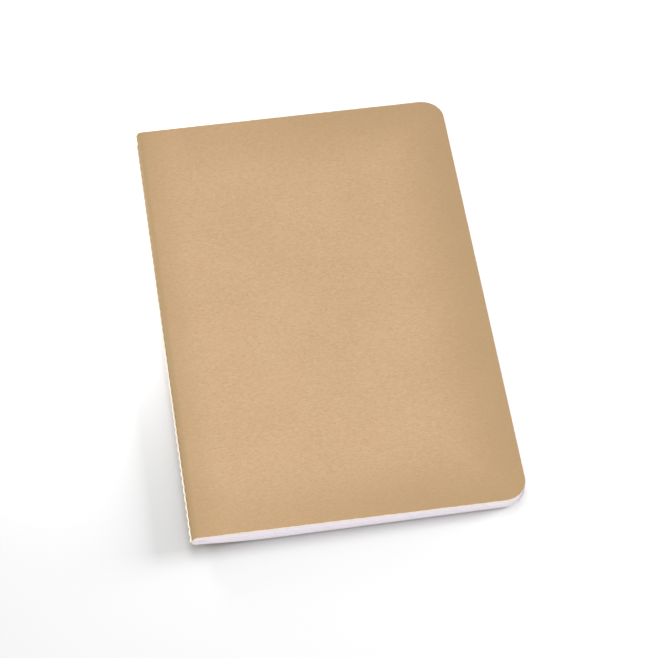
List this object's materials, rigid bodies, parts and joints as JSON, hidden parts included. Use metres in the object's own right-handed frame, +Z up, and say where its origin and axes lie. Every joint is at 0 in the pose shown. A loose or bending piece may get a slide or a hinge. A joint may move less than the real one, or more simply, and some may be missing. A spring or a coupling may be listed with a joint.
{
  "type": "pocket notebook",
  "caption": "Pocket notebook with a kraft card cover, rounded fore-edge corners and a thread-sewn fold; its cover and leaves open.",
  "frame": {"origin": "centre of the closed notebook's footprint, on the surface it lies on", "axes": "+X from the spine to the fore-edge, +Y from the tail to the head, +Z up out of the front cover"},
  "size_m": [0.0904, 0.14, 0.0053],
  "materials": {
    "kraft_card": "matte",
    "paper": "matte",
    "thread": "matte"
  },
  "bodies": {
    "back_cover": {"back_cover": "kraft_card"},
    "spine": {"cover_spine": "kraft_card", "sheet_01_fold": "paper", "sheet_02_fold": "paper", "sheet_03_fold": "paper", "sheet_04_fold": "paper", "sheet_05_fold": "paper", "sheet_06_fold": "paper", "sheet_07_fold": "paper", "sheet_08_fold": "paper", "sheet_09_fold": "paper", "sheet_10_fold": "paper", "sheet_11_fold": "paper", "sheet_12_fold": "paper", "sheet_13_fold": "paper", "sheet_14_fold": "paper", "sheet_15_fold": "paper", "sheet_16_fold": "paper", "spine_thread": "thread", "centre_thread": "thread"},
    "leaf_01": {"leaf_01": "paper"},
    "leaf_02": {"leaf_02": "paper"},
    "leaf_03": {"leaf_03": "paper"},
    "leaf_04": {"leaf_04": "paper"},
    "leaf_05": {"leaf_05": "paper"},
    "leaf_06": {"leaf_06": "paper"},
    "leaf_07": {"leaf_07": "paper"},
    "leaf_08": {"leaf_08": "paper"},
    "leaf_09": {"leaf_09": "paper"},
    "leaf_10": {"leaf_10": "paper"},
    "leaf_11": {"leaf_11": "paper"},
    "leaf_12": {"leaf_12": "paper"},
    "leaf_13": {"leaf_13": "paper"},
    "leaf_14": {"leaf_14": "paper"},
    "leaf_15": {"leaf_15": "paper"},
    "leaf_16": {"leaf_16": "paper"},
    "leaf_17": {"leaf_17": "paper"},
    "leaf_18": {"leaf_18": "paper"},
    "leaf_19": {"leaf_19": "paper"},
    "leaf_20": {"leaf_20": "paper"},
    "leaf_21": {"leaf_21": "paper"},
    "leaf_22": {"leaf_22": "paper"},
    "leaf_23": {"leaf_23": "paper"},
    "leaf_24": {"leaf_24": "paper"},
    "leaf_25": {"leaf_25": "paper"},
    "leaf_26": {"leaf_26": "paper"},
    "leaf_27": {"leaf_27": "paper"},
    "leaf_28": {"leaf_28": "paper"},
    "leaf_29": {"leaf_29": "paper"},
    "leaf_30": {"leaf_30": "paper"},
    "leaf_31": {"leaf_31": "paper"},
    "leaf_32": {"leaf_32": "paper"},
    "front_cover": {"front_cover": "kraft_card"}
  },
  "joints": [
    {"name": "leaf_01_turn", "type": "hinge", "parent": "back_cover", "child": "leaf_01", "pos_m": [-0.04303, 0, 0.0036], "axis": [0, -1, 0], "range_deg": [0, 179.5]},
    {"name": "leaf_02_turn", "type": "hinge", "parent": "back_cover", "child": "leaf_02", "pos_m": [-0.04303, 0, 0.0036], "axis": [0, -1, 0], "range_deg": [0, 179.3]},
    {"name": "leaf_03_turn", "type": "hinge", "parent": "back_cover", "child": "leaf_03", "pos_m": [-0.04303, 0, 0.0036], "axis": [0, -1, 0], "range_deg": [0, 179.1]},
    {"name": "leaf_04_turn", "type": "hinge", "parent": "back_cover", "child": "leaf_04", "pos_m": [-0.04303, 0, 0.0036], "axis": [0, -1, 0], "range_deg": [0, 178.9]},
    {"name": "leaf_05_turn", "type": "hinge", "parent": "back_cover", "child": "leaf_05", "pos_m": [-0.04303, 0, 0.0036], "axis": [0, -1, 0], "range_deg": [0, 178.7]},
    {"name": "leaf_06_turn", "type": "hinge", "parent": "back_cover", "child": "leaf_06", "pos_m": [-0.04303, 0, 0.0036], "axis": [0, -1, 0], "range_deg": [0, 178.5]},
    {"name": "leaf_07_turn", "type": "hinge", "parent": "back_cover", "child": "leaf_07", "pos_m": [-0.04303, 0, 0.0036], "axis": [0, -1, 0], "range_deg": [0, 178.3]},
    {"name": "leaf_08_turn", "type": "hinge", "parent": "back_cover", "child": "leaf_08", "pos_m": [-0.04303, 0, 0.0036], "axis": [0, -1, 0], "range_deg": [0, 178.1]},
    {"name": "leaf_09_turn", "type": "hinge", "parent": "back_cover", "child": "leaf_09", "pos_m": [-0.04303, 0, 0.0036], "axis": [0, -1, 0], "range_deg": [0, 177.9]},
    {"name": "leaf_10_turn", "type": "hinge", "parent": "back_cover", "child": "leaf_10", "pos_m": [-0.04303, 0, 0.0036], "axis": [0, -1, 0], "range_deg": [0, 177.7]},
    {"name": "leaf_11_turn", "type": "hinge", "parent": "back_cover", "child": "leaf_11", "pos_m": [-0.04303, 0, 0.0036], "axis": [0, -1, 0], "range_deg": [0, 177.5]},
    {"name": "leaf_12_turn", "type": "hinge", "parent": "back_cover", "child": "leaf_12", "pos_m": [-0.04303, 0, 0.0036], "axis": [0, -1, 0], "range_deg": [0, 177.3]},
    {"name": "leaf_13_turn", "type": "hinge", "parent": "back_cover", "child": "leaf_13", "pos_m": [-0.04303, 0, 0.0036], "axis": [0, -1, 0], "range_deg": [0, 177.1]},
    {"name": "leaf_14_turn", "type": "hinge", "parent": "back_cover", "child": "leaf_14", "pos_m": [-0.04303, 0, 0.0036], "axis": [0, -1, 0], "range_deg": [0, 176.9]},
    {"name": "leaf_15_turn", "type": "hinge", "parent": "back_cover", "child": "leaf_15", "pos_m": [-0.04303, 0, 0.0036], "axis": [0, -1, 0], "range_deg": [0, 176.7]},
    {"name": "leaf_16_turn", "type": "hinge", "parent": "back_cover", "child": "leaf_16", "pos_m": [-0.04303, 0, 0.0036], "axis": [0, -1, 0], "range_deg": [0, 176.5]},
    {"name": "leaf_17_turn", "type": "hinge", "parent": "back_cover", "child": "leaf_17", "pos_m": [-0.04303, 0, 0.0036], "axis": [0, -1, 0], "range_deg": [0, 3]},
    {"name": "leaf_18_turn", "type": "hinge", "parent": "back_cover", "child": "leaf_18", "pos_m": [-0.04303, 0, 0.0036], "axis": [0, -1, 0], "range_deg": [0, 2.81]},
    {"name": "leaf_19_turn", "type": "hinge", "parent": "back_cover", "child": "leaf_19", "pos_m": [-0.04303, 0, 0.0036], "axis": [0, -1, 0], "range_deg": [0, 2.63]},
    {"name": "leaf_20_turn", "type": "hinge", "parent": "back_cover", "child": "leaf_20", "pos_m": [-0.04303, 0, 0.0036], "axis": [0, -1, 0], "range_deg": [0, 2.44]},
    {"name": "leaf_21_turn", "type": "hinge", "parent": "back_cover", "child": "leaf_21", "pos_m": [-0.04303, 0, 0.0036], "axis": [0, -1, 0], "range_deg": [0, 2.25]},
    {"name": "leaf_22_turn", "type": "hinge", "parent": "back_cover", "child": "leaf_22", "pos_m": [-0.04303, 0, 0.0036], "axis": [0, -1, 0], "range_deg": [0, 2.06]},
    {"name": "leaf_23_turn", "type": "hinge", "parent": "back_cover", "child": "leaf_23", "pos_m": [-0.04303, 0, 0.0036], "axis": [0, -1, 0], "range_deg": [0, 1.88]},
    {"name": "leaf_24_turn", "type": "hinge", "parent": "back_cover", "child": "leaf_24", "pos_m": [-0.04303, 0, 0.0036], "axis": [0, -1, 0], "range_deg": [0, 1.69]},
    {"name": "leaf_25_turn", "type": "hinge", "parent": "back_cover", "child": "leaf_25", "pos_m": [-0.04303, 0, 0.0036], "axis": [0, -1, 0], "range_deg": [0, 1.5]},
    {"name": "leaf_26_turn", "type": "hinge", "parent": "back_cover", "child": "leaf_26", "pos_m": [-0.04303, 0, 0.0036], "axis": [0, -1, 0], "range_deg": [0, 1.31]},
    {"name": "leaf_27_turn", "type": "hinge", "parent": "back_cover", "child": "leaf_27", "pos_m": [-0.04303, 0, 0.0036], "axis": [0, -1, 0], "range_deg": [0, 1.12]},
    {"name": "leaf_28_turn", "type": "hinge", "parent": "back_cover", "child": "leaf_28", "pos_m": [-0.04303, 0, 0.0036], "axis": [0, -1, 0], "range_deg": [0, 0.9376]},
    {"name": "leaf_29_turn", "type": "hinge", "parent": "back_cover", "child": "leaf_29", "pos_m": [-0.04303, 0, 0.0036], "axis": [0, -1, 0], "range_deg": [0, 0.75]},
    {"name": "leaf_30_turn", "type": "hinge", "parent": "back_cover", "child": "leaf_30", "pos_m": [-0.04303, 0, 0.0036], "axis": [0, -1, 0], "range_deg": [0, 0.5626]},
    {"name": "leaf_31_turn", "type": "hinge", "parent": "back_cover", "child": "leaf_31", "pos_m": [-0.04303, 0, 0.0036], "axis": [0, -1, 0], "range_deg": [0, 0.375]},
    {"name": "leaf_32_turn", "type": "hinge", "parent": "back_cover", "child": "leaf_32", "pos_m": [-0.04303, 0, 0.0036], "axis": [0, -1, 0], "range_deg": [0, 0.1876]},
    {"name": "spine_turn", "type": "hinge", "parent": "back_cover", "child": "spine", "pos_m": [-0.04303, 0, 0.0036], "axis": [0, -1, 0], "range_deg": [0, 89.75], "deforming": ["cover_spine", "sheet_01_fold", "sheet_02_fold", "sheet_03_fold", "sheet_04_fold", "sheet_05_fold", "sheet_06_fold", "sheet_07_fold", "sheet_08_fold", "sheet_09_fold", "sheet_10_fold", "sheet_11_fold", "sheet_12_fold", "sheet_13_fold", "sheet_14_fold", "sheet_15_fold", "sheet_16_fold"]},
    {"name": "cover_opening", "type": "hinge", "parent": "leaf_01", "child": "front_cover", "pos_m": [-0.04285, 0, 0.00536], "axis": [0, -1, 0], "range_deg": [0, 165]}
  ],
  "couplings": [
    {"joint": "leaf_02_turn", "follows": "leaf_01_turn", "ratio": 0.99889},
    {"joint": "leaf_03_turn", "follows": "leaf_01_turn", "ratio": 0.99777},
    {"joint": "leaf_04_turn", "follows": "leaf_01_turn", "ratio": 0.99666},
    {"joint": "leaf_05_turn", "follows": "leaf_01_turn", "ratio": 0.99554},
    {"joint": "leaf_06_turn", "follows": "leaf_01_turn", "ratio": 0.99443},
    {"joint": "leaf_07_turn", "follows": "leaf_01_turn", "ratio": 0.99331},
    {"joint": "leaf_08_turn", "follows": "leaf_01_turn", "ratio": 0.9922},
    {"joint": "leaf_09_turn", "follows": "leaf_01_turn", "ratio": 0.99109},
    {"joint": "leaf_10_turn", "follows": "leaf_01_turn", "ratio": 0.98997},
    {"joint": "leaf_11_turn", "follows": "leaf_01_turn", "ratio": 0.98886},
    {"joint": "leaf_12_turn", "follows": "leaf_01_turn", "ratio": 0.98774},
    {"joint": "leaf_13_turn", "follows": "leaf_01_turn", "ratio": 0.98663},
    {"joint": "leaf_14_turn", "follows": "leaf_01_turn", "ratio": 0.98552},
    {"joint": "leaf_15_turn", "follows": "leaf_01_turn", "ratio": 0.9844},
    {"joint": "leaf_16_turn", "follows": "leaf_01_turn", "ratio": 0.98329},
    {"joint": "leaf_17_turn", "follows": "leaf_01_turn", "ratio": 0.016713},
    {"joint": "leaf_18_turn", "follows": "leaf_01_turn", "ratio": 0.015669},
    {"joint": "leaf_19_turn", "follows": "leaf_01_turn", "ratio": 0.014624},
    {"joint": "leaf_20_turn", "follows": "leaf_01_turn", "ratio": 0.013579},
    {"joint": "leaf_21_turn", "follows": "leaf_01_turn", "ratio": 0.012535},
    {"joint": "leaf_22_turn", "follows": "leaf_01_turn", "ratio": 0.01149},
    {"joint": "leaf_23_turn", "follows": "leaf_01_turn", "ratio": 0.010446},
    {"joint": "leaf_24_turn", "follows": "leaf_01_turn", "ratio": 0.009401},
    {"joint": "leaf_25_turn", "follows": "leaf_01_turn", "ratio": 0.008357},
    {"joint": "leaf_26_turn", "follows": "leaf_01_turn", "ratio": 0.007312},
    {"joint": "leaf_27_turn", "follows": "leaf_01_turn", "ratio": 0.006267},
    {"joint": "leaf_28_turn", "follows": "leaf_01_turn", "ratio": 0.005223},
    {"joint": "leaf_29_turn", "follows": "leaf_01_turn", "ratio": 0.004178},
    {"joint": "leaf_30_turn", "follows": "leaf_01_turn", "ratio": 0.003134},
    {"joint": "leaf_31_turn", "follows": "leaf_01_turn", "ratio": 0.002089},
    {"joint": "leaf_32_turn", "follows": "leaf_01_turn", "ratio": 0.001045},
    {"joint": "spine_turn", "follows": "leaf_01_turn", "ratio": 0.5}
  ]
}
